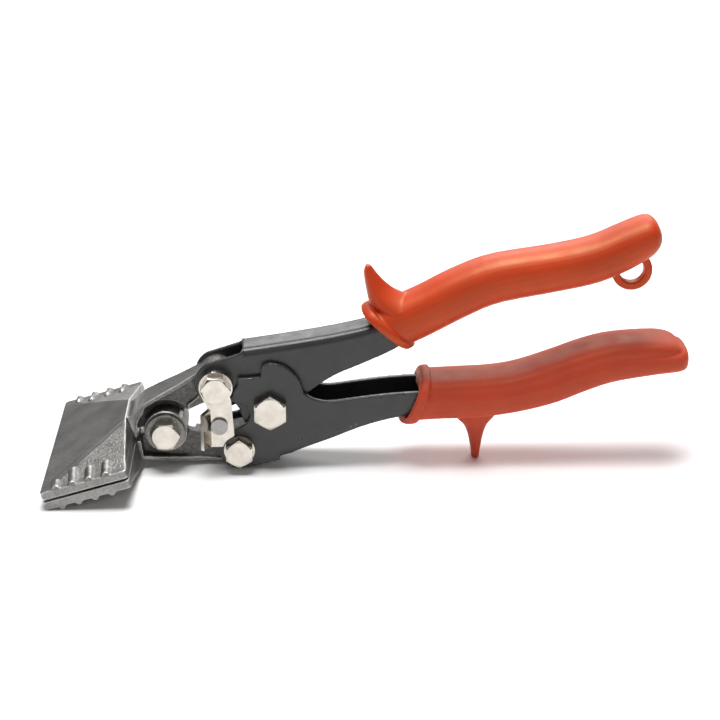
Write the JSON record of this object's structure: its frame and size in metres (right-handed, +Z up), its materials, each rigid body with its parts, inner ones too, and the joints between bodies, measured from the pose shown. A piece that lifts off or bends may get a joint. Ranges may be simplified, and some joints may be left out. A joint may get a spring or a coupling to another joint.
{
  "type": "hand seamer",
  "caption": "Sheet metal hand seamer with wide flat jaws, compound bolted linkage, channel handles, soft vinyl grips and a thumb latch.",
  "frame": {"origin": "middle of the footprint on the bench the tool stands on, jaws closed", "axes": "+X from the jaws to the ends of the grips, +Y across the jaws away from the latch side, +Z up"},
  "size_m": [0.2438, 0.084, 0.0971],
  "materials": {
    "forged_steel": "forged and polished, satin grey",
    "plated_steel": "bright nickel plate",
    "bare_steel": "turned steel",
    "dark_steel": "dark tempered steel, oiled",
    "black_coat": "semi-matte black coat",
    "upper_vinyl": "soft satin vinyl",
    "lower_vinyl": "soft satin vinyl"
  },
  "bodies": {
    "lower_handle": {"lower_handle": "black_coat", "lower_grip": "lower_vinyl", "handle_pivot_bolt": "plated_steel", "handle_pivot_nut": "plated_steel", "handle_pivot_sleeve": "bare_steel", "return_spring": "dark_steel", "lower_link_bolt": "plated_steel", "lower_link_nut": "plated_steel", "lower_link_washer_near": "plated_steel", "lower_link_washer_far": "plated_steel", "lower_link_spacer_near": "bare_steel", "lower_link_spacer_far": "bare_steel"},
    "upper_handle": {"upper_handle": "black_coat", "upper_grip": "upper_vinyl", "upper_link_bolt": "plated_steel", "upper_link_nut": "plated_steel", "upper_link_washer": "plated_steel", "latch_spacer": "plated_steel"},
    "lower_jaw": {"lower_jaw": "forged_steel", "jaw_pivot_bolt": "plated_steel", "jaw_pivot_nut": "plated_steel", "jaw_pivot_washer_near": "dark_steel", "jaw_pivot_washer_far": "dark_steel"},
    "upper_jaw": {"upper_jaw": "forged_steel"},
    "latch": {"latch": "plated_steel", "latch_stud": "bare_steel"}
  },
  "joints": [
    {"name": "handle_opening", "type": "hinge", "parent": "lower_handle", "child": "upper_handle", "pos_m": [-0.03767, 0, 0.0248], "axis": [0, -1, 0], "range_deg": [0, 20], "deforming": ["return_spring"]},
    {"name": "lower_jaw_pivot", "type": "hinge", "parent": "lower_handle", "child": "lower_jaw", "pos_m": [-0.04967, 0, 0.00875], "axis": [0, -1, 0], "range_deg": [0, 18]},
    {"name": "jaw_opening", "type": "hinge", "parent": "lower_jaw", "child": "upper_jaw", "pos_m": [-0.07767, 0, 0.0157], "axis": [0, -1, 0], "range_deg": [-13.6, 0]},
    {"name": "latch_swing", "type": "hinge", "parent": "upper_handle", "child": "latch", "pos_m": [-0.05797, -0.01075, 0.035], "axis": [0, -1, 0], "range_deg": [-36, 0]}
  ],
  "couplings": [
    {"joint": "lower_jaw_pivot", "follows": "handle_opening", "ratio": 0.9},
    {"joint": "jaw_opening", "follows": "handle_opening", "ratio": -0.68},
    {"joint": "latch_swing", "follows": "handle_opening", "ratio": -1.8}
  ]
}
